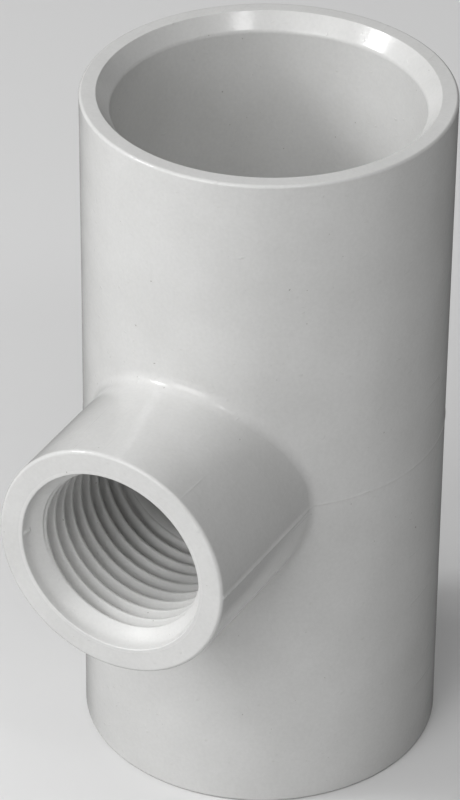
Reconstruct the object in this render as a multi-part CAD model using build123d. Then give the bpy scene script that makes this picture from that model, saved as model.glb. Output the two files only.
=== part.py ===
from build123d import *
from build123d.topology import SkipClean
from math import radians, tan
import os

# A reducing pipe tee, moulded in one piece: a slip socket at each end of its run, and a smaller branch with
# an internal pipe thread.
#
# The run stands along +Z with the centre of its lower end face at the origin. The branch points along -Y from
# the middle of the run. The moulding is divided into five zones that meet face to face, one node each.

# Driving dimensions, in millimetres and degrees.

# The run and its two slip sockets, for a pipe of 33.4 outside diameter.
RUN_LENGTH = 79.4
RUN_OUTER_R = 20.1
RIM_ROUND = 0.35
SOCKET_DEPTH = 28.6  # end face to pipe stop
SOCKET_WALL_R = 16.73  # at mid-depth: a real socket wall tapers 0.1 either way
LEAD_IN_MOUTH_R = 18.3
LEAD_IN_DEPTH = 1.83
PASSAGE_R = 13.3

# The branch.
BRANCH_REACH = 34.4  # run axis to branch face
BRANCH_FACE_R = 13.4
BRANCH_DRAFT = 0.55
BRANCH_EDGE_ROUND = 0.4
BRANCH_ROOT_FILLET = 1.5
MOUTH_R = 10.6
MOUTH_DEPTH = 1.2  # the plain wall behind the branch face
PORT_R = 9.0  # the plain hole from the thread's end to the passage

# The internal thread, 14 turns per inch, with all its depths counted from the branch face.
THREAD_PITCH = 25.4 / 14
THREAD_MAJOR_R = 20.955 / 2
THREAD_MINOR_R = 18.631 / 2
THREAD_FLANK_ANGLE = 27.5
THREAD_FLAT = THREAD_PITCH / 6  # width of each ridge's crest, and of each groove's root
THREAD_CONE_DEPTH = 2.5  # where the mouth's cone reaches the crests
THREAD_RUN_OUT_DEPTH = 18.4
THREAD_RUN_OUT_ANGLE = 165.0  # seen from outside, anticlockwise from +X
THREAD_ZONE_DEPTH = 19.0
CRESTS_DRAWN_AS = 12  # arcs round the bore, so that each crest is a chain of short faces

# The patch of run wall that belongs to the branch's zone, so that its root fillet isn't a feather edge.
PATCH_R = 15.6
PATCH_INNER_R = 18.4

# Cutting tools pass the surfaces that they cut by this much.
OVERSHOOT = 0.1

# Worked out from the sizes above.
BRANCH_HEIGHT = RUN_LENGTH / 2
CENTRE_LENGTH = RUN_LENGTH - 2 * SOCKET_DEPTH
BRANCH_AXIS_R = BRANCH_FACE_R + BRANCH_REACH * tan(radians(BRANCH_DRAFT))
THREAD_HEIGHT = THREAD_MAJOR_R - THREAD_MINOR_R
THREAD_TURNS = int(THREAD_RUN_OUT_DEPTH / THREAD_PITCH)

STANDING = (Align.CENTER, Align.CENTER, Align.MIN)

# From the branch's own frame, with +Z out of the branch from the run's axis, to the part's.
BRANCH_FRAME = Pos(0, 0, BRANCH_HEIGHT) * Rot(90, 0, 0)


def rod(radius, start, end):
    """A cylinder on the Z axis from one height to another."""
    return Pos(0, 0, start) * Cylinder(radius, end - start, align=STANDING)


def frustum(start_radius, end_radius, start, end):
    """A cone's frustum on the Z axis from one height to another."""
    return Pos(0, 0, start) * Cone(start_radius, end_radius, end - start, align=STANDING)


def depth(distance):
    """The height in the branch's frame that lies this far behind the branch face."""
    return BRANCH_REACH - distance


def branch_blank():
    """The branch without its hole, in the branch's frame."""
    cone = frustum(BRANCH_AXIS_R, BRANCH_FACE_R, 0, BRANCH_REACH)
    return fillet(cone.edges().group_by(Axis.Z)[-1], BRANCH_EDGE_ROUND)


def outside_with_branch():
    """The run and branch as one blank without holes, blended by the root fillet."""
    run = rod(RUN_OUTER_R, 0, RUN_LENGTH)
    branch = BRANCH_FRAME * branch_blank()
    blank = run + branch
    root = new_edges(run, branch, combined=blank)
    return fillet(root, BRANCH_ROOT_FILLET)


def branch_zone():
    """The space of the branch's zone: all round the branch, in to just under the surface of the run."""
    return BRANCH_FRAME * rod(PATCH_R, 0, BRANCH_REACH + OVERSHOOT) - rod(PATCH_INNER_R, 0, RUN_LENGTH)


def mouth():
    """The branch's plain mouth and the cone behind it, as a solid to cut away, in the branch's frame."""
    wall = rod(MOUTH_R, depth(MOUTH_DEPTH), BRANCH_REACH + OVERSHOOT)
    cone = frustum(THREAD_MINOR_R, MOUTH_R, depth(THREAD_CONE_DEPTH), depth(MOUTH_DEPTH))
    return wall + cone


def groove_turn():
    """One turn of the groove between the thread's ridges, from the origin's plane up, as a cutting solid."""
    helix = Helix(THREAD_PITCH, THREAD_PITCH, THREAD_MAJOR_R)
    slope = tan(radians(THREAD_FLANK_ANGLE))
    outer_half = THREAD_FLAT / 2 - OVERSHOOT * slope
    inner_half = THREAD_FLAT / 2 + (THREAD_HEIGHT + OVERSHOOT) * slope
    outline = Polyline(
        (OVERSHOOT, outer_half),
        (-THREAD_HEIGHT - OVERSHOOT, inner_half),
        (-THREAD_HEIGHT - OVERSHOOT, -inner_half),
        (OVERSHOOT, -outer_half),
        close=True,
    )
    section = Plane(origin=helix @ 0, x_dir=(1, 0, 0), z_dir=helix % 0) * make_face(outline)
    return sweep(section, path=helix, is_frenet=True)


def crest_bore():
    """The hole inside the thread's crests, with its wall drawn as short arcs, in the branch's frame."""
    step = 360 / CRESTS_DRAWN_AS
    starts = [i * step for i in range(CRESTS_DRAWN_AS)]
    arcs = [Edge.make_circle(THREAD_MINOR_R, start_angle=angle, end_angle=angle + step) for angle in starts]
    start = depth(THREAD_ZONE_DEPTH) - OVERSHOOT
    bore = Solid.extrude(Face(Wire(arcs)), Vector(0, 0, BRANCH_REACH - start))
    return Pos(0, 0, start) * bore


def socket():
    """One slip socket, standing on its pipe stop with its mouth up."""
    barrel = rod(RUN_OUTER_R, 0, SOCKET_DEPTH)
    barrel = fillet(barrel.edges().group_by(Axis.Z)[-1], RIM_ROUND)
    lead_in = frustum(SOCKET_WALL_R, LEAD_IN_MOUTH_R, SOCKET_DEPTH - LEAD_IN_DEPTH, SOCKET_DEPTH)
    return barrel - rod(SOCKET_WALL_R, 0, SOCKET_DEPTH) - lead_in


def upper_socket():
    """The socket for the upper pipe, less the branch's patch."""
    return Pos(0, 0, RUN_LENGTH - SOCKET_DEPTH) * socket() - branch_zone()


def lower_socket():
    """The same socket turned over, which the fitting stands on."""
    return Pos(0, 0, SOCKET_DEPTH) * Rot(180, 0, 0) * socket() - branch_zone()


def run_centre():
    """The thick middle of the run: both pipe stops, the passage between them and the port to the branch."""
    ring = rod(RUN_OUTER_R, 0, CENTRE_LENGTH) - rod(PASSAGE_R, 0, CENTRE_LENGTH)
    port = rod(PORT_R, 0, BRANCH_REACH) + rod(THREAD_MAJOR_R, depth(THREAD_ZONE_DEPTH), BRANCH_REACH)
    return Pos(0, 0, SOCKET_DEPTH) * ring - branch_zone() - BRANCH_FRAME * port


def branch_outlet():
    """The branch's wall and end face, with its plain mouth, root fillet and patch of run wall."""
    hole = rod(THREAD_MAJOR_R, 0, BRANCH_REACH) + mouth()
    return (outside_with_branch() & branch_zone()) - BRANCH_FRAME * hole


def branch_thread():
    """The thread's helical ridge, from the mouth's cone in to the plain collar where the thread ends."""
    sleeve = rod(THREAD_MAJOR_R, depth(THREAD_ZONE_DEPTH), depth(MOUTH_DEPTH))
    first_turn = Pos(0, 0, depth(THREAD_RUN_OUT_DEPTH)) * Rot(0, 0, THREAD_RUN_OUT_ANGLE) * groove_turn()
    # Without merging, the crest keeps its short faces.
    with SkipClean():
        ridge = sleeve - crest_bore() - mouth()
        for i in range(THREAD_TURNS):
            ridge = ridge - Pos(0, 0, i * THREAD_PITCH) * first_turn
    return BRANCH_FRAME * ridge


NODES = {
    "upper_socket": upper_socket,
    "lower_socket": lower_socket,
    "run_centre": run_centre,
    "branch_outlet": branch_outlet,
    "branch_thread": branch_thread,
}

os.makedirs("parts", exist_ok=True)
for name, make in NODES.items():
    export_step(make(), f"parts/{name}.step")
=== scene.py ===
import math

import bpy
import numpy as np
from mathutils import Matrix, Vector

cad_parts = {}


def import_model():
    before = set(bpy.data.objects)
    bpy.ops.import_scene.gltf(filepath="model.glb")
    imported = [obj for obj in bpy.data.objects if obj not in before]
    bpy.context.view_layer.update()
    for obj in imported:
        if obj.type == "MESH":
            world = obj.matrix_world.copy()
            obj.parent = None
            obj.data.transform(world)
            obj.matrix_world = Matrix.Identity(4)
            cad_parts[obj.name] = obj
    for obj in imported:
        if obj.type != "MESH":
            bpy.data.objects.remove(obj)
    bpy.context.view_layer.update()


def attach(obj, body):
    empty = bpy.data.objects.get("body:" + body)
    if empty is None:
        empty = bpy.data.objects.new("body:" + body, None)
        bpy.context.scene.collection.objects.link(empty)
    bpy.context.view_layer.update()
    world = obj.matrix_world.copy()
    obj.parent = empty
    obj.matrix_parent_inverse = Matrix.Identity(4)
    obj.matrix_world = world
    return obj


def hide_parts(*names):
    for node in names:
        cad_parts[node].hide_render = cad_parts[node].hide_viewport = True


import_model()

# A white PVC reducing tee, moulded in one piece, on a pale floor.
#
# The surface is made as rings of points: rings round the run's axis for its sockets, and rings round the
# branch's axis for the branch, its thread and its port. Each zone of the moulding is a closed mesh of its
# own. Neighbours share their points and normals where they meet, so that no line shows between them.

METRES = 0.001  # per millimetre

# Sizes in millimetres and degrees, as in the CAD.
RUN_LENGTH = 79.4
RUN_OUTER_R = 20.1
RIM_ROUND = 0.35
SOCKET_DEPTH = 28.6
LEAD_IN_MOUTH_R = 18.3
LEAD_IN_DEPTH = 1.83
PASSAGE_R = 13.3
BRANCH_REACH = 34.4
BRANCH_FACE_R = 13.4
BRANCH_DRAFT = math.radians(0.55)
BRANCH_EDGE_ROUND = 0.4
BRANCH_ROOT_FILLET = 1.5
MOUTH_R = 10.6
MOUTH_DEPTH = 1.2
PORT_R = 9.0
THREAD_PITCH = 25.4 / 14
THREAD_MINOR_R = 18.631 / 2
THREAD_FLANK_ANGLE = math.radians(27.5)
THREAD_CONE_DEPTH = 2.5
THREAD_RUN_OUT_DEPTH = 18.4
THREAD_RUN_OUT_ANGLE = math.radians(165)
THREAD_ZONE_DEPTH = 19.0
PATCH_R = 15.6
PATCH_INNER_R = 18.4

# Finer shape that the CAD leaves out.
SOCKET_MOUTH_R = 16.83
SOCKET_BOTTOM_R = 16.63
WAIST = 0.06  # the run is narrower by this at mid-length
LEAD_IN_EDGE_ROUND = 0.12
LEAD_IN_FOOT_ROUND = 0.8
STOP_CORNER_ROUND = 0.3
PASSAGE_EDGE_ROUND = 0.3
MOUTH_EDGE_ROUND = 0.15
MOUTH_CONE_SOFTNESS = 0.28
MOUTH_BLEND = 0.08  # rounding where the mouth's cone meets the thread
THREAD_START_DEPTH = 1.9  # the grooves deepen from here
THREAD_FULL_DEPTH = 3.5  # to here, where they have their full height
THREAD_ROUND = 0.1373 * THREAD_PITCH  # rounding of the ridges' crests and the grooves' roots
THREAD_FADE = 0.3  # turns over which the last groove fades in
SLEEVE_R = 10.9  # outside of the thread's zone
JOIN_BEND = (0.3, 0.5)  # out from the stop's corner and in from its flat: where the hidden join turns

# The parting line's height, and a quarter of its width.
RUN_PARTING_RIDGE = (0.05, 0.13)
BRANCH_PARTING_RIDGE = (0.2, 0.22)

# How the surface is divided.
COLUMNS = 288  # round the branch
COLUMN_CROWDING = 0.75  # how far the columns crowd towards the parting line, from 0 to 1
BACK_COLUMNS = 120  # round the run, outside the sector of the branch
SECTOR = math.radians(62)  # half-angle of the run's sector that holds the branch's rings
OUTER_BAND = 17.0  # half-height of the sector on the outside
INNER_BAND = 10.4  # half-height of the sector in the passage
ROW_LENGTH = 2.5
THREAD_ROW = 0.06
MOUTH_ROW = 0.1
SECTOR_ROWS = 6
PATCH_ROWS = 4
ROOT_ROWS = 10
BRANCH_ROWS = 8
POCKET_ROWS = 4
PORT_ROWS = 4
PORT_EDGE_ROWS = 6
PASSAGE_ROWS = 5
ARC_STEP = math.radians(13)
BALL_ROUNDS = 12  # repeats that settle where the ball of a rounded edge lies
PAST_ROUNDING = 1.2  # an outline ends this many roundings from its last corner
WELD = 1e-4  # points closer than this are one point
WELD_SHIFT = 0.637  # keeps the edges of the weld's cells away from round numbers
TINY = 1e-12

# Worked out from the sizes above.
MID_HEIGHT = RUN_LENGTH / 2
STOP_HEIGHT = MID_HEIGHT - SOCKET_DEPTH  # from mid-height to a pipe stop
STOP_EDGE_R = SOCKET_BOTTOM_R - STOP_CORNER_ROUND - 0.05  # where the hidden join starts on the stop
BRANCH_AXIS_R = BRANCH_FACE_R + BRANCH_REACH * math.tan(BRANCH_DRAFT)


# --------------------------------------------------------------------------------- rings of points

def column_angles():
    """Angles round the branch, anticlockwise from +X as seen from outside, closest at the parting line."""
    even = np.arange(COLUMNS) * 2 * np.pi / COLUMNS
    return even - COLUMN_CROWDING * np.sin(2 * even) / 2


ANGLES = column_angles()
# The column that runs to a corner of the sector.
CORNER = int(np.argmin(abs(ANGLES[: COLUMNS // 4] - np.pi / 4)))


def sector_edge(half_height):
    """Where the branch's columns meet the sector's edge: angle round the run, and height from its middle."""
    upward = np.arcsin(np.sin(ANGLES)) / ANGLES[CORNER]
    sideways = np.arcsin(np.cos(ANGLES)) / (np.pi / 2 - ANGLES[CORNER])
    return SECTOR * np.clip(sideways, -1, 1), half_height * np.clip(upward, -1, 1)


def run_angles():
    """Angles round the run, anticlockwise from -Y as seen from above: the sector first, then the back."""
    across = sector_edge(OUTER_BAND)[0][CORNER : COLUMNS // 2 - CORNER + 1]
    back = np.linspace(SECTOR, 2 * np.pi - SECTOR, BACK_COLUMNS + 1)
    return np.concatenate([across[::-1], back[1:-1]])


RUN_ANGLES = run_angles()


def round_run(radius, angle, height):
    """Points at an angle round the run, and a height from its middle."""
    radius, angle, height = np.broadcast_arrays(radius, angle, height)
    return np.stack([radius * np.sin(angle), -radius * np.cos(angle), MID_HEIGHT + height], -1)


def round_branch(radius, height):
    """A ring round the branch at a radius and a height above the run's axis."""
    radius, height, angle = np.broadcast_arrays(radius, height, ANGLES)
    return np.stack([radius * np.cos(angle), -height, MID_HEIGHT + radius * np.sin(angle)], -1)


def outer_radius(height):
    """The run's outer radius at a height from its middle."""
    return RUN_OUTER_R - WAIST * (1 - (2 * height / RUN_LENGTH) ** 2)


def inner_radius(height):
    """The passage's radius at each height."""
    return np.full_like(height, PASSAGE_R)


def pocket_radius(height):
    """The hidden pocket's radius at each height."""
    return np.full_like(height, PATCH_INNER_R)


def rounded_outline(corners):
    """The points of an open outline. Each corner is (radius, height, rounding), and becomes an arc."""
    places = [np.array(corner[:2], float) for corner in corners]
    points = [places[0]]
    for before, here, after, corner in zip(places, places[1:], places[2:], corners[1:]):
        to_before = (before - here) / np.linalg.norm(before - here)
        to_after = (after - here) / np.linalg.norm(after - here)
        half = math.acos(np.dot(to_before, to_after)) / 2
        inward = (to_before + to_after) / np.linalg.norm(to_before + to_after)
        centre = here + inward * corner[2] / math.sin(half)
        start = here + to_before * corner[2] / math.tan(half) - centre
        end = here + to_after * corner[2] / math.tan(half) - centre
        turn = math.pi - 2 * half
        steps = max(2, math.ceil(turn / ARC_STEP))
        for i in range(steps + 1):
            weights = math.sin(turn * (1 - i / steps)), math.sin(turn * i / steps)
            points.append(centre + (weights[0] * start + weights[1] * end) / math.sin(turn))
    points.append(places[-1])
    return divided(points)


def divided(points):
    """The same outline with its long straight stretches divided."""
    result = [points[0]]
    for start, end in zip(points, points[1:]):
        pieces = max(1, math.ceil(np.linalg.norm(end - start) / ROW_LENGTH))
        result += [start + (end - start) * (i + 1) / pieces for i in range(pieces)]
    return np.array(result)


def revolve(outline):
    """Rings round the run for an outline of (radius, height from the middle)."""
    return np.stack([round_run(radius, RUN_ANGLES, height) for radius, height in outline])


def blend_rings(branch_radius, draft, run_radius, rounding, rows):
    """Rings across the rounded edge where a wall round the branch's axis meets a wall round the run's axis.

    The rounding is that of a ball that touches both walls. The first ring lies on the run's wall.
    """
    height = np.full(COLUMNS, PATCH_INNER_R)
    for _ in range(BALL_ROUNDS):
        ball = branch_radius - height * math.tan(draft) + rounding * math.cos(draft)
        reach = run_radius(ball * np.sin(ANGLES)) + rounding
        height = np.sqrt(reach**2 - (ball * np.cos(ANGLES)) ** 2) - rounding * math.sin(draft)
    centre = round_branch(ball, height + rounding * math.sin(draft))
    axis = centre * [0, 0, 1]
    on_run = axis + (centre - axis) * ((reach - rounding) / reach)[:, None]
    on_branch = round_branch(ball - rounding * math.cos(draft), height)
    first = (on_run - centre) / rounding
    last = (on_branch - centre) / rounding
    turn = np.arccos(np.clip((first * last).sum(1), -1, 1))[:, None]
    share = np.linspace(0, 1, rows + 1)[:, None, None]
    from_centre = np.sin((1 - share) * turn) * first + np.sin(share * turn) * last
    return centre + rounding * from_centre / np.sin(turn)


def surface_rings(start, end, radius, rows):
    """Rings on a wall round the run, from one set of angles and heights to another, both ends included."""
    share = np.linspace(0, 1, rows + 1)[:, None]
    angle = start[0] + (end[0] - start[0]) * share
    height = start[1] + (end[1] - start[1]) * share
    return round_run(radius(height), angle, height)


def place_on_run(points):
    """The angle round the run, and the height from its middle, of some points."""
    return np.arctan2(points[:, 0], -points[:, 1]), points[:, 2] - MID_HEIGHT


# ------------------------------------------------------------------------------- the branch's bore

def mouth_radius(depth):
    """The radius of the plain mouth and of the cone behind it, at a depth behind the branch's face."""
    slope = (MOUTH_R - THREAD_MINOR_R) / (THREAD_CONE_DEPTH - MOUTH_DEPTH)
    past = (depth - MOUTH_DEPTH) / MOUTH_CONE_SOFTNESS
    return MOUTH_R - slope * MOUTH_CONE_SOFTNESS * np.logaddexp(0, past)


def eased(share):
    """A share held between 0 and 1, with a soft start and end."""
    share = np.clip(share, 0, 1)
    return share * share * (3 - 2 * share)


def groove_height(from_crest):
    """The height of the thread's rounded outline above its crest, at a distance from the crest."""
    flank_start = THREAD_ROUND * math.cos(THREAD_FLANK_ANGLE)
    flank_end = THREAD_PITCH / 2 - flank_start
    crest = THREAD_ROUND - np.sqrt(THREAD_ROUND**2 - np.minimum(from_crest, flank_start) ** 2)
    flank = np.clip(from_crest - flank_start, 0, flank_end - flank_start) / math.tan(THREAD_FLANK_ANGLE)
    from_root = np.minimum(THREAD_PITCH / 2 - from_crest, flank_start)
    root = np.sqrt(THREAD_ROUND**2 - from_root**2) - THREAD_ROUND * math.sin(THREAD_FLANK_ANGLE)
    return crest + flank + root


def thread_radius(depth, angle):
    """The radius of the threaded wall, with its last groove fading in over part of a turn."""
    round_from_run_out = np.mod(angle - THREAD_RUN_OUT_ANGLE, 2 * np.pi) / (2 * np.pi)
    turns = (THREAD_RUN_OUT_DEPTH - depth) / THREAD_PITCH - round_from_run_out
    groove = np.round(turns)
    from_crest = THREAD_PITCH * (0.5 - abs(turns - groove))
    return THREAD_MINOR_R + eased((groove + round_from_run_out) / THREAD_FADE) * groove_height(from_crest)


def soft_max(a, b, softness):
    """The larger of two values, with a rounded change from one to the other."""
    closeness = np.maximum(softness - abs(a - b), 0) / softness
    return np.maximum(a, b) + closeness**2 * softness / 4


def bore_radius(depth, angle):
    """The radius of the branch's bore, from its plain mouth in to the end of the thread."""
    grown = eased((depth - THREAD_START_DEPTH) / (THREAD_FULL_DEPTH - THREAD_START_DEPTH))
    wall = THREAD_MINOR_R + grown * (thread_radius(depth, angle) - THREAD_MINOR_R)
    return soft_max(wall, mouth_radius(depth), MOUTH_BLEND)


# ------------------------------------------------------------------------------- pieces as patches

def socket_outline():
    """A socket's visible outline, from the outside up over the rim and down to the pipe stop."""
    top = RUN_LENGTH / 2
    outline = rounded_outline([
        (RUN_OUTER_R, OUTER_BAND, 0),
        (RUN_OUTER_R, top, RIM_ROUND),
        (LEAD_IN_MOUTH_R, top, LEAD_IN_EDGE_ROUND),
        (SOCKET_MOUTH_R, top - LEAD_IN_DEPTH, LEAD_IN_FOOT_ROUND),
        (SOCKET_BOTTOM_R, STOP_HEIGHT, STOP_CORNER_ROUND),
        (STOP_EDGE_R, STOP_HEIGHT, 0),
    ])
    outside = outline[:, 0] > RUN_OUTER_R - RIM_ROUND
    outline[outside, 0] += outer_radius(outline[outside, 1]) - RUN_OUTER_R
    return outline


def socket_join():
    """The hidden outline where a socket meets the run's middle, inside the wall, from the stop outwards."""
    return np.array([
        (STOP_EDGE_R, STOP_HEIGHT),
        (SOCKET_BOTTOM_R + JOIN_BEND[0], STOP_HEIGHT - JOIN_BEND[1]),
        (outer_radius(OUTER_BAND), OUTER_BAND),
    ])


def stop_outline():
    """The pipe stop's visible outline, from the socket in to the passage."""
    return rounded_outline([
        (STOP_EDGE_R, STOP_HEIGHT, 0),
        (PASSAGE_R, STOP_HEIGHT, PASSAGE_EDGE_ROUND),
        (PASSAGE_R, INNER_BAND, 0),
    ])


def turned_over(outline):
    """The same outline for the lower end of the run, in the order that keeps its outside outside."""
    return outline[::-1] * [1, -1]


def outlet_rings():
    """The branch's visible rings, from its patch of the run's wall over its face to the plain mouth's end."""
    root = blend_rings(BRANCH_AXIS_R, BRANCH_DRAFT, outer_radius, BRANCH_ROOT_FILLET, ROOT_ROWS)
    patch = surface_rings(place_on_run(patch_edge()), place_on_run(root[0]), outer_radius, PATCH_ROWS)
    wall_end = BRANCH_REACH - BRANCH_EDGE_ROUND * PAST_ROUNDING
    share = np.linspace(0, 1, BRANCH_ROWS + 1)[1:, None]
    wall_height = -root[-1][:, 1] + (wall_end + root[-1][:, 1]) * share
    wall = [round_branch(BRANCH_AXIS_R - height * math.tan(BRANCH_DRAFT), height) for height in wall_height]
    face = rounded_outline([
        (BRANCH_AXIS_R - wall_end * math.tan(BRANCH_DRAFT), wall_end, 0),
        (BRANCH_FACE_R, BRANCH_REACH, BRANCH_EDGE_ROUND),
        (MOUTH_R, BRANCH_REACH, MOUTH_EDGE_ROUND),
        (MOUTH_R, BRANCH_REACH - MOUTH_EDGE_ROUND * PAST_ROUNDING, 0),
    ])
    rim = [round_branch(radius, height) for radius, height in face[1:]]
    depths = np.arange(MOUTH_EDGE_ROUND * 2, MOUTH_DEPTH + WELD, MOUTH_ROW)
    plain = [round_branch(mouth_radius(depth), BRANCH_REACH - depth) for depth in depths]
    return np.concatenate([patch, root[1:], wall, rim, plain])


def patch_edge():
    """The round edge of the branch's patch of the run's wall."""
    angle = np.arcsin(PATCH_R * np.cos(ANGLES) / RUN_OUTER_R)
    height = PATCH_R * np.sin(ANGLES)
    return round_run(outer_radius(height), angle, height)


def pocket_rings():
    """The hidden rings under the branch's patch, from the patch's edge in to the thread's sleeve."""
    edge = patch_edge()
    sleeve = np.arcsin(SLEEVE_R * np.cos(ANGLES) / PATCH_INNER_R), SLEEVE_R * np.sin(ANGLES)
    bottom = surface_rings(place_on_run(edge), sleeve, pocket_radius, POCKET_ROWS)
    return np.concatenate([[edge], bottom])


def thread_rings():
    """The thread's visible rings, from the plain mouth in to the collar."""
    rows = round((THREAD_ZONE_DEPTH - MOUTH_DEPTH) / THREAD_ROW)
    depths = np.linspace(MOUTH_DEPTH, THREAD_ZONE_DEPTH, rows + 1)
    return np.stack([round_branch(bore_radius(depth, ANGLES), BRANCH_REACH - depth) for depth in depths])


def sleeve_ring(depth):
    """A hidden ring on the outside of the thread's zone."""
    return round_branch(SLEEVE_R, BRANCH_REACH - depth)


def port_rings():
    """The visible rings from the thread's end through the port, and over its edge to the passage."""
    collar = round_branch(bore_radius(THREAD_ZONE_DEPTH, ANGLES), BRANCH_REACH - THREAD_ZONE_DEPTH)
    step = THREAD_MINOR_R - PORT_R
    ledge = round_branch(PORT_R, BRANCH_REACH - THREAD_ZONE_DEPTH - step)
    edge = blend_rings(PORT_R, 0, inner_radius, PASSAGE_EDGE_ROUND, PORT_EDGE_ROWS)[::-1]
    share = np.linspace(0, 1, PORT_ROWS + 1)[1:-1, None, None]
    wall = ledge + (edge[0] - ledge) * share
    around = surface_rings(place_on_run(edge[-1]), sector_edge(INNER_BAND), inner_radius, PASSAGE_ROWS)
    return np.concatenate([[collar, ledge], wall, edge, around[1:]])


def band(half_height, radius, upward):
    """The run's wall behind the sector, on the outside (upward) or in the passage (downward)."""
    heights = sector_edge(half_height)[1]
    heights = np.concatenate([heights[-CORNER:], heights[: CORNER + 1]])
    heights = heights if upward else heights[::-1]
    angles = np.linspace(SECTOR, 2 * np.pi - SECTOR, BACK_COLUMNS + 1)
    return round_run(radius(heights[:, None]), angles[None, :], heights[:, None])


def patches():
    """Every patch of the surface: (node, visible, on the outside, with columns all round, rings)."""
    outlet = outlet_rings()
    pocket = pocket_rings()
    thread = thread_rings()
    port = port_rings()
    upper = socket_outline()
    stop = stop_outline()
    join = socket_join()
    sleeve_start = sleeve_ring(MOUTH_DEPTH)
    sleeve_end = sleeve_ring(THREAD_ZONE_DEPTH)
    sector = surface_rings(sector_edge(OUTER_BAND), place_on_run(patch_edge()), outer_radius, SECTOR_ROWS)
    return [
        ("upper_socket", True, True, True, revolve(upper)),
        ("upper_socket", False, False, True, revolve(join)),
        ("lower_socket", True, True, True, revolve(turned_over(upper))),
        ("lower_socket", False, False, True, revolve(turned_over(join))),
        ("run_centre", True, True, False, band(OUTER_BAND, outer_radius, True)),
        ("run_centre", True, True, True, sector),
        ("run_centre", False, False, True, pocket),
        ("run_centre", False, False, True, np.stack([pocket[-1], sleeve_end, port[0]])),
        ("run_centre", True, False, True, port),
        ("run_centre", True, False, False, band(INNER_BAND, inner_radius, False)),
        ("run_centre", True, False, True, revolve(stop)),
        ("run_centre", False, False, True, revolve(join[::-1])),
        ("run_centre", True, False, True, revolve(turned_over(stop))),
        ("run_centre", False, False, True, revolve(turned_over(join[::-1]))),
        ("branch_outlet", True, True, True, outlet),
        ("branch_outlet", False, False, True, np.stack([outlet[-1], sleeve_start, pocket[-1]])),
        ("branch_outlet", False, False, True, pocket[::-1]),
        ("branch_thread", True, False, True, thread),
        ("branch_thread", False, False, True, np.stack([thread[-1], sleeve_end, sleeve_start, thread[0]])),
    ]


# ------------------------------------------------------------------------------------------ meshes

def grid_faces(numbers, closed):
    """Quads between rows of point numbers, wound so that columns crossed with rows point outwards."""
    if closed:
        numbers = np.concatenate([numbers, numbers[:, :1]], 1)
    corners = numbers[:-1, :-1], numbers[:-1, 1:], numbers[1:, 1:], numbers[1:, :-1]
    return np.stack(corners, -1).reshape(-1, 4)


def face_vectors(points, faces):
    """Each quad's normal, as long as its area."""
    first_diagonal = points[faces[:, 2]] - points[faces[:, 0]]
    second_diagonal = points[faces[:, 3]] - points[faces[:, 1]]
    return np.cross(first_diagonal, second_diagonal) / 2


def unit(vectors):
    """The same vectors, one long."""
    return vectors / np.maximum(np.linalg.norm(vectors, axis=1), TINY)[:, None]


def point_normals(points, faces):
    """Each point's normal, from the faces round it."""
    normals = np.zeros_like(points)
    vectors = face_vectors(points, faces)
    for corner in range(4):
        np.add.at(normals, faces[:, corner], vectors)
    return unit(normals)


def parting_ridge(points):
    """How far the parting line stands out at some points: a little on the run, and more on the branch."""
    from_axis = np.hypot(points[:, 0], points[:, 1])
    on_branch = np.clip((from_axis - RUN_OUTER_R) / BRANCH_ROOT_FILLET, 0, 1)
    run_height, run_width = RUN_PARTING_RIDGE
    branch_height, branch_width = BRANCH_PARTING_RIDGE
    height = run_height + (branch_height - run_height) * on_branch
    width = run_width + (branch_width - run_width) * on_branch
    off_line = (points[:, 2] - MID_HEIGHT) / width
    before_face = np.clip((BRANCH_REACH - BRANCH_EDGE_ROUND / 2 + points[:, 1]) / BRANCH_EDGE_ROUND, 0, 1)
    return height * np.exp(-(off_line**2)) * before_face


def welded(loose):
    """The separate points among some loose ones, and the number of the point that each loose one became."""
    cells = np.floor(loose / WELD + WELD_SHIFT)
    _, first, numbers = np.unique(cells, axis=0, return_index=True, return_inverse=True)
    return loose[first], numbers.reshape(-1)


def build():
    """Makes one closed mesh object for each node, sharing points and normals where the nodes meet."""
    made = patches()
    points, numbers = welded(np.concatenate([rings.reshape(-1, 3) for *_, rings in made]))
    faces, visible, nodes, outside = [], [], [], []
    start = 0
    for node, shown, outer, closed, rings in made:
        count = rings.shape[0] * rings.shape[1]
        quads = grid_faces(numbers[start : start + count].reshape(rings.shape[:2]), closed)
        start += count
        faces.append(quads)
        visible += [shown] * len(quads)
        outside += [outer] * len(quads)
        nodes += [node] * len(quads)
    faces = np.concatenate(faces)
    visible, outside, nodes = np.array(visible), np.array(outside), np.array(nodes)
    on_outside = np.zeros(len(points), bool)
    on_outside[faces[outside]] = True
    normals = point_normals(points, faces[visible])
    points = points + normals * (parting_ridge(points) * on_outside)[:, None]
    normals = point_normals(points, faces[visible])
    pieces = {}
    for node in dict.fromkeys(nodes):
        its = nodes == node
        pieces[node] = mesh_object(node, points, normals, faces[its], visible[its])
    return pieces


def mesh_object(name, points, normals, faces, visible):
    """A mesh object in metres. Hidden faces keep their own flat normals."""
    used, local = np.unique(faces, return_inverse=True)
    local = local.reshape(faces.shape)
    mesh = bpy.data.meshes.new(name)
    mesh.from_pydata((points[used] * METRES).tolist(), [], local.tolist())
    flat = unit(face_vectors(points, faces))
    corner_normals = np.where(visible[:, None, None], normals[faces], flat[:, None, :])
    mesh.shade_smooth()
    mesh.normals_split_custom_set(corner_normals.reshape(-1, 3).tolist())
    piece = bpy.data.objects.new(f"tee_{name}", mesh)
    bpy.context.scene.collection.objects.link(piece)
    return piece


# ---------------------------------------------------------------------------------------- material

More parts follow.
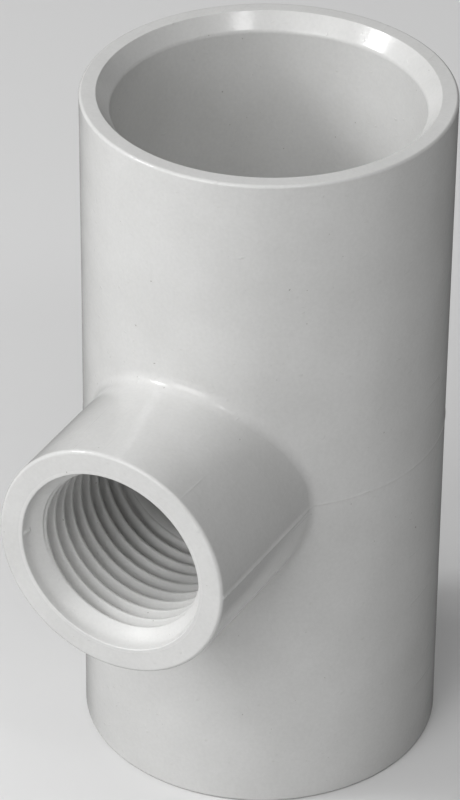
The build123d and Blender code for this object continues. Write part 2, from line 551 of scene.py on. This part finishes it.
PVC_WHITES = ((0.63, 0.63, 0.62), (0.725, 0.725, 0.717))  # darkest and lightest of its slow variation
PVC_GRAIN = 0.92  # the darkest that its fine grain makes it
PVC_SPECKS = (0.6, 0.59, 0.57)
PVC_ROUGHNESS = (0.13, 0.25)
PVC_IOR = 1.53
WHITE = (1, 1, 1)
BORE_DULLNESS = 0.22  # added to the roughness in the branch's bore
BORE_FINISH_R = (10.7, 11.3)  # the bore's finish ends between these radii, in millimetres


class ShaderTree:
    """A material with a Principled BSDF, and a short call for each kind of node that feeds it."""

    def __init__(self, name):
        self.material = bpy.data.materials.new(name)
        self.material.use_nodes = True
        self.nodes = self.material.node_tree.nodes
        self.surface = self.nodes["Principled BSDF"]

    def add(self, kind, links=(), **settings):
        """A new node, with some of its inputs linked and some of its properties set."""
        node = self.nodes.new(f"ShaderNode{kind}")
        for name, value in settings.items():
            setattr(node, name, value)
        for socket, source in dict(links).items():
            self.link(source, node.inputs[socket])
        return node

    def link(self, source, socket):
        self.material.node_tree.links.new(source, socket)

    def place(self):
        """The place on the object, in metres."""
        return self.add("TexCoord").outputs["Object"]

    def mapped(self, **values):
        """The place on the object, moved, turned or stretched."""
        node = self.add("Mapping", {"Vector": self.place()})
        for name, value in values.items():
            node.inputs[name].default_value = value
        return node.outputs["Vector"]

    def noise(self, scale, detail, place=None):
        """A noise with this many cells to the metre."""
        node = self.add("TexNoise", {"Vector": place or self.place()})
        node.inputs["Scale"].default_value = scale
        node.inputs["Detail"].default_value = detail
        return node.outputs["Fac"]

    def ramp(self, value, low, low_colour, high, high_colour):
        """A colour that changes from one to another as the value goes from low to high."""
        node = self.add("ValToRGB", {"Fac": value})
        stops = (low, low_colour), (high, high_colour)
        for element, (position, colour) in zip(node.color_ramp.elements, stops):
            element.position = position
            element.color = (*colour, 1)
        return node.outputs["Color"]

    def remap(self, value, low, high, to_low, to_high):
        """The value with one range made into another."""
        node = self.add("MapRange", {"Value": value})
        node.inputs["From Min"].default_value = low
        node.inputs["From Max"].default_value = high
        node.inputs["To Min"].default_value = to_low
        node.inputs["To Max"].default_value = to_high
        return node.outputs["Result"]

    def arithmetic(self, operation, first, second):
        """The sum, product or the like of two values."""
        return self.add("Math", {0: first, 1: second}, operation=operation).outputs["Value"]

    def multiply(self, first, second):
        """The product of two colours."""
        node = self.add("Mix", data_type="RGBA", blend_type="MULTIPLY")
        node.inputs["Factor"].default_value = 1
        self.link(first, node.inputs["A"])
        self.link(second, node.inputs["B"])
        return node.outputs["Result"]

    def bump(self, height, strength, distance, over=None):
        """A bump on the surface, or over another bump. The distance is in metres."""
        node = self.add("Bump", {"Height": height})
        node.inputs["Strength"].default_value = strength
        node.inputs["Distance"].default_value = distance
        if over:
            self.link(over, node.inputs["Normal"])
        return node.outputs["Normal"]


def pvc_colour(tree):
    """Slightly uneven white, with a fine grain and a few dark specks."""
    cloud = tree.ramp(tree.noise(110, 4), 0.1, PVC_WHITES[0], 0.9, PVC_WHITES[1])
    grain = tree.ramp(tree.noise(2600, 2), 0.1, (PVC_GRAIN,) * 3, 0.9, WHITE)
    specks = tree.ramp(tree.noise(1900, 1), 0.175, PVC_SPECKS, 0.2, WHITE)
    return tree.multiply(tree.multiply(cloud, grain), specks)


def pvc_roughness(tree):
    """Satin, and duller in the branch's bore, where the core of the mould had a rougher finish."""
    satin = tree.remap(tree.noise(260, 3), 0, 1, *PVC_ROUGHNESS)
    across = tree.mapped(Scale=(1, 0, 1), Location=(0, 0, -MID_HEIGHT * METRES))
    from_branch_axis = tree.add("VectorMath", {0: across}, operation="LENGTH").outputs["Value"]
    inner, outer = BORE_FINISH_R
    near_axis = tree.remap(from_branch_axis, inner * METRES, outer * METRES, BORE_DULLNESS, 0)
    along = tree.add("SeparateXYZ", {"Vector": tree.place()}).outputs["Y"]
    on_branch_side = tree.remap(along, -METRES, METRES, 1, 0)
    return tree.arithmetic("ADD", satin, tree.arithmetic("MULTIPLY", near_axis, on_branch_side))


def pvc_relief(tree):
    """Fine pitting, a few short scratches, and the slow waves of a moulded wall."""
    pitting = tree.bump(tree.noise(2200, 3), strength=0.25, distance=0.00004)
    stretched = tree.mapped(Rotation=(0.9, 0.3, 0.5), Scale=(1, 0.04, 1))
    scratches = tree.remap(tree.noise(2400, 0, stretched), 0.76, 0.9, 0, 1)
    scratched = tree.bump(scratches, strength=0.6, distance=0.00005, over=pitting)
    return tree.bump(tree.noise(240, 2), strength=0.5, distance=0.00012, over=scratched)


def moulded_pvc():
    """White rigid PVC as it leaves the mould."""
    tree = ShaderTree("white_pvc")
    tree.link(pvc_colour(tree), tree.surface.inputs["Base Color"])
    tree.link(pvc_roughness(tree), tree.surface.inputs["Roughness"])
    tree.link(pvc_relief(tree), tree.surface.inputs["Normal"])
    tree.surface.inputs["IOR"].default_value = PVC_IOR
    return tree.material


# ---------------------------------------------------------------------------- stage, light, camera

RUN_R = RUN_OUTER_R * METRES  # the camera's distances are shares of it
TARGET = Vector((0, 0, MID_HEIGHT * METRES))
CAMERA_AZIMUTH = 28.116  # degrees from -Y towards +X
CAMERA_ELEVATION = 33.023
CAMERA_ROLL = math.radians(0.58)
CAMERA_DISTANCE = 22.713 * RUN_R
CAMERA_SIDEWAYS = -0.188 * RUN_R
CAMERA_RISE = 0.032 * RUN_R
CAMERA_LENS = 185.53
CAMERA_SENSOR = 36.0
CAMERA_CLIP = 0.01

# Each light's azimuth and elevation, counted like the camera's, its size in metres, its power in watts, and
# whether it shows in the gloss. The two small ones make the glints.
LIGHTS = {
    "key": (-60, 38, 0.6, 3.6, False),
    "key_core": (-57, 34, 0.18, 2.6, True),
    "top": (26, 62, 0.7, 3.1, False),
    "front": (-8, 32, 0.6, 3.0, True),
    "low_front": (0, 8, 0.6, 0.7, False),
    "back": (-165, 40, 0.8, 0.9, False),
    "right_core": (50, 48, 0.12, 0.6, True),
}
LIGHT_DISTANCE = 1.0
WORLD_STRENGTH = 0.06

FLOOR_HALF = 3.0
FLOOR_HEIGHT = -2e-5  # just clear of the object's lower end
FLOOR_GREY = 0.75
FLOOR_ROUGHNESS = 0.9


def direction(azimuth, elevation):
    """The direction out from the object at an azimuth and an elevation in degrees."""
    azimuth, elevation = math.radians(azimuth), math.radians(elevation)
    outwards = math.cos(elevation)
    return Vector((math.sin(azimuth) * outwards, -math.cos(azimuth) * outwards, math.sin(elevation)))


def linked(name, data):
    """A new object in the scene."""
    item = bpy.data.objects.new(name, data)
    bpy.context.scene.collection.objects.link(item)
    return item


def camera():
    """The camera, above and to the right of the branch."""
    back = direction(CAMERA_AZIMUTH, CAMERA_ELEVATION)
    azimuth = math.radians(CAMERA_AZIMUTH)
    right = Vector((math.cos(azimuth), math.sin(azimuth), 0))
    up = back.cross(right)
    rolled_right = math.cos(CAMERA_ROLL) * right + math.sin(CAMERA_ROLL) * up
    rolled_up = -math.sin(CAMERA_ROLL) * right + math.cos(CAMERA_ROLL) * up
    place = TARGET + back * CAMERA_DISTANCE + right * CAMERA_SIDEWAYS + up * CAMERA_RISE
    turn = Matrix((rolled_right, rolled_up, back)).transposed().to_4x4()
    data = bpy.data.cameras.new("camera")
    data.lens = CAMERA_LENS
    data.sensor_fit = "VERTICAL"
    data.sensor_height = CAMERA_SENSOR
    data.clip_start = CAMERA_CLIP
    item = linked("camera", data)
    item.matrix_world = Matrix.Translation(place) @ turn
    bpy.context.scene.camera = item


def area_light(name, azimuth, elevation, size, power, in_gloss):
    """A square light aimed at the object."""
    data = bpy.data.lights.new(name, "AREA")
    data.size = size
    data.energy = power
    away = direction(azimuth, elevation)
    item = linked(name, data)
    item.location = TARGET + away * LIGHT_DISTANCE
    item.rotation_euler = away.to_track_quat("Z", "Y").to_euler()
    item.visible_glossy = in_gloss


def floor():
    """A plain pale floor, just below the object's lower end."""
    mesh = bpy.data.meshes.new("floor")
    signs = (-1, -1), (1, -1), (1, 1), (-1, 1)
    corners = [(x * FLOOR_HALF, y * FLOOR_HALF, FLOOR_HEIGHT) for x, y in signs]
    mesh.from_pydata(corners, [], [(0, 1, 2, 3)])
    tree = ShaderTree("floor")
    tree.surface.inputs["Base Color"].default_value = (FLOOR_GREY, FLOOR_GREY, FLOOR_GREY, 1)
    tree.surface.inputs["Roughness"].default_value = FLOOR_ROUGHNESS
    mesh.materials.append(tree.material)
    item = linked("floor", mesh)
    item.visible_glossy = False


def world():
    """A faint, even surround."""
    made = bpy.data.worlds.new("world")
    made.use_nodes = True
    background = made.node_tree.nodes["Background"]
    background.inputs["Color"].default_value = (*WHITE, 1)
    background.inputs["Strength"].default_value = WORLD_STRENGTH
    bpy.context.scene.world = made


pvc = moulded_pvc()
for node, piece in build().items():
    piece.data.materials.append(pvc)
    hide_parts(node)
    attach(piece, "root")

floor()
world()
for name, settings in LIGHTS.items():
    area_light(name, *settings)
camera()
bpy.context.scene.view_settings.view_transform = "Standard"
